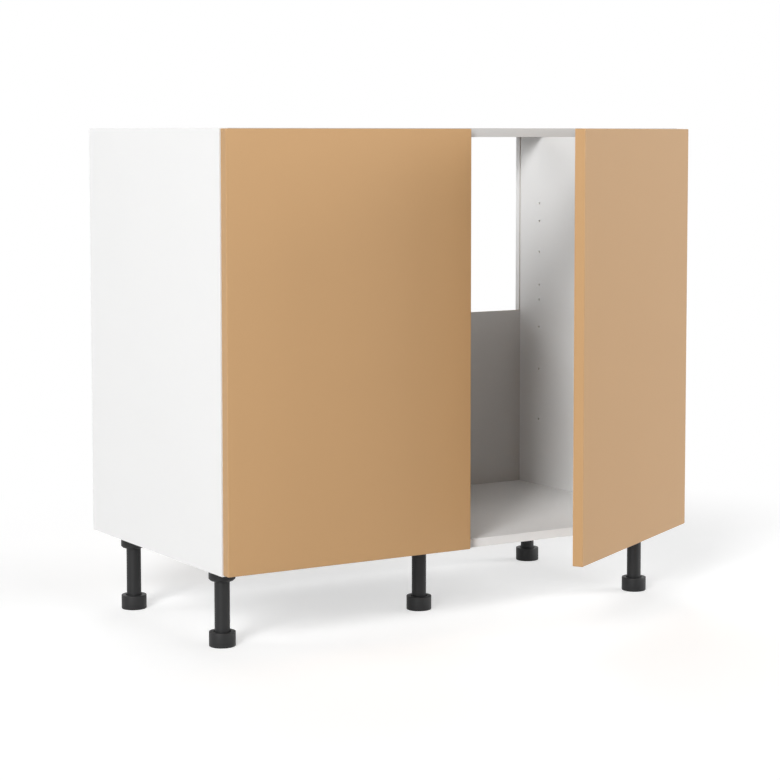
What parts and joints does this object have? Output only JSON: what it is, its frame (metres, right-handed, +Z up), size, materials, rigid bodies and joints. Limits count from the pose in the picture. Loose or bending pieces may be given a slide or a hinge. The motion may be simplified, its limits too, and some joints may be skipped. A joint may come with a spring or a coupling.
{
  "type": "sink base cabinet",
  "caption": "Sink base cabinet with hinged slab doors, open top between rails, half-height back and adjustable legs.",
  "frame": {"origin": "on the floor under the centre of the middle leg, at the cabinet's mid width", "axes": "+X to the right seen from the front, +Y to the back, +Z up"},
  "size_m": [1, 0.8045, 0.91],
  "materials": {
    "white_melamine": "satin melamine-faced board",
    "white_hardboard": "satin painted fibreboard",
    "white_edge_band": "satin",
    "copper_lacquer": "satin metallic lacquer",
    "bumper_rubber": "soft, translucent",
    "black_leg_plastic": "moulded, matt",
    "nickel_plated_steel": "nickel plated",
    "zinc_plated_steel": "zinc plated",
    "beech": "turned, unfinished"
  },
  "bodies": {
    "carcass": {"arm_pins": "zinc_plated_steel", "arm_screws": "zinc_plated_steel", "back_panel": "white_hardboard", "bottom_panel": "white_melamine", "cam_bolts": "zinc_plated_steel", "cam_fittings": "zinc_plated_steel", "edge_bands": "white_edge_band", "front_rail": "white_melamine", "hinge_arm_left_lower": "nickel_plated_steel", "hinge_arm_left_upper": "nickel_plated_steel", "hinge_arm_right_lower": "nickel_plated_steel", "hinge_arm_right_upper": "nickel_plated_steel", "hinge_plate_left_lower": "nickel_plated_steel", "hinge_plate_left_upper": "nickel_plated_steel", "hinge_plate_right_lower": "nickel_plated_steel", "hinge_plate_right_upper": "nickel_plated_steel", "leg_socket_centre": "black_leg_plastic", "leg_socket_front_left": "black_leg_plastic", "leg_socket_front_right": "black_leg_plastic", "leg_socket_rear_left": "black_leg_plastic", "leg_socket_rear_right": "black_leg_plastic", "leg_tube_centre": "black_leg_plastic", "leg_tube_front_left": "black_leg_plastic", "leg_tube_front_right": "black_leg_plastic", "leg_tube_rear_left": "black_leg_plastic", "leg_tube_rear_right": "black_leg_plastic", "plate_screws": "zinc_plated_steel", "rear_rail": "white_melamine", "side_panel_left": "white_melamine", "side_panel_right": "white_melamine", "wood_dowels": "beech"},
    "door_left": {"cup_pins_left": "zinc_plated_steel", "cup_screws_left": "zinc_plated_steel", "door_bumpers_left": "bumper_rubber", "door_left": "copper_lacquer", "hinge_cup_left_lower": "nickel_plated_steel", "hinge_cup_left_upper": "nickel_plated_steel"},
    "door_right": {"cup_pins_right": "zinc_plated_steel", "cup_screws_right": "zinc_plated_steel", "door_bumpers_right": "bumper_rubber", "door_right": "copper_lacquer", "hinge_cup_right_lower": "nickel_plated_steel", "hinge_cup_right_upper": "nickel_plated_steel"},
    "inner_links_left": {"inner_link_left_lower": "nickel_plated_steel", "inner_link_left_upper": "nickel_plated_steel"},
    "inner_links_right": {"inner_link_right_lower": "nickel_plated_steel", "inner_link_right_upper": "nickel_plated_steel"},
    "foot_centre": {"leg_foot_centre": "black_leg_plastic"},
    "foot_front_left": {"leg_foot_front_left": "black_leg_plastic"},
    "foot_front_right": {"leg_foot_front_right": "black_leg_plastic"},
    "foot_rear_left": {"leg_foot_rear_left": "black_leg_plastic"},
    "foot_rear_right": {"leg_foot_rear_right": "black_leg_plastic"},
    "outer_links_left": {"outer_link_left_lower": "nickel_plated_steel", "outer_link_left_upper": "nickel_plated_steel"},
    "outer_links_right": {"outer_link_right_lower": "nickel_plated_steel", "outer_link_right_upper": "nickel_plated_steel"}
  },
  "joints": [
    {"name": "left_inner_link_turn", "type": "hinge", "parent": "carcass", "child": "inner_links_left", "pos_m": [-0.4615, -0.1561, 0.5265], "axis": [0, 0, -1], "range_deg": [-32.32, 0]},
    {"name": "left_door_swing", "type": "hinge", "parent": "inner_links_left", "child": "door_left", "pos_m": [-0.4861, -0.1684, 0.5265], "axis": [0, 0, -1], "range_deg": [0, 127.3]},
    {"name": "left_outer_link_turn", "type": "hinge", "parent": "door_left", "child": "outer_links_left", "pos_m": [-0.48935, -0.1646, 0.5265], "axis": [0, 0, -1], "range_deg": [-124.28, 0]},
    {"name": "right_inner_link_turn", "type": "hinge", "parent": "carcass", "child": "inner_links_right", "pos_m": [0.4615, -0.1561, 0.5265], "axis": [0, 0, 1], "range_deg": [-22.12, 10.22]},
    {"name": "right_door_swing", "type": "hinge", "parent": "inner_links_right", "child": "door_right", "pos_m": [0.48353, -0.17256, 0.5265], "axis": [0, 0, 1], "range_deg": [-40.2, 87.1]},
    {"name": "right_outer_link_turn", "type": "hinge", "parent": "door_right", "child": "outer_links_right", "pos_m": [0.48445, -0.16765, 0.5265], "axis": [0, 0, 1], "range_deg": [-85.04, 39.26]},
    {"name": "foot_front_left_height", "type": "slide", "parent": "carcass", "child": "foot_front_left", "axis": [0, 0, -1], "range_m": [0, 0.02]},
    {"name": "foot_front_right_height", "type": "slide", "parent": "carcass", "child": "foot_front_right", "axis": [0, 0, -1], "range_m": [0, 0.02]},
    {"name": "foot_rear_left_height", "type": "slide", "parent": "carcass", "child": "foot_rear_left", "axis": [0, 0, -1], "range_m": [0, 0.02]},
    {"name": "foot_rear_right_height", "type": "slide", "parent": "carcass", "child": "foot_rear_right", "axis": [0, 0, -1], "range_m": [0, 0.02]},
    {"name": "foot_centre_height", "type": "slide", "parent": "carcass", "child": "foot_centre", "axis": [0, 0, -1], "range_m": [0, 0.02]}
  ],
  "couplings": [
    {"joint": "left_inner_link_turn", "follows": "left_door_swing", "ratio": -0.25373},
    {"joint": "left_outer_link_turn", "follows": "left_door_swing", "ratio": -0.97612},
    {"joint": "right_inner_link_turn", "follows": "right_door_swing", "ratio": -0.25373},
    {"joint": "right_outer_link_turn", "follows": "right_door_swing", "ratio": -0.97612}
  ]
}
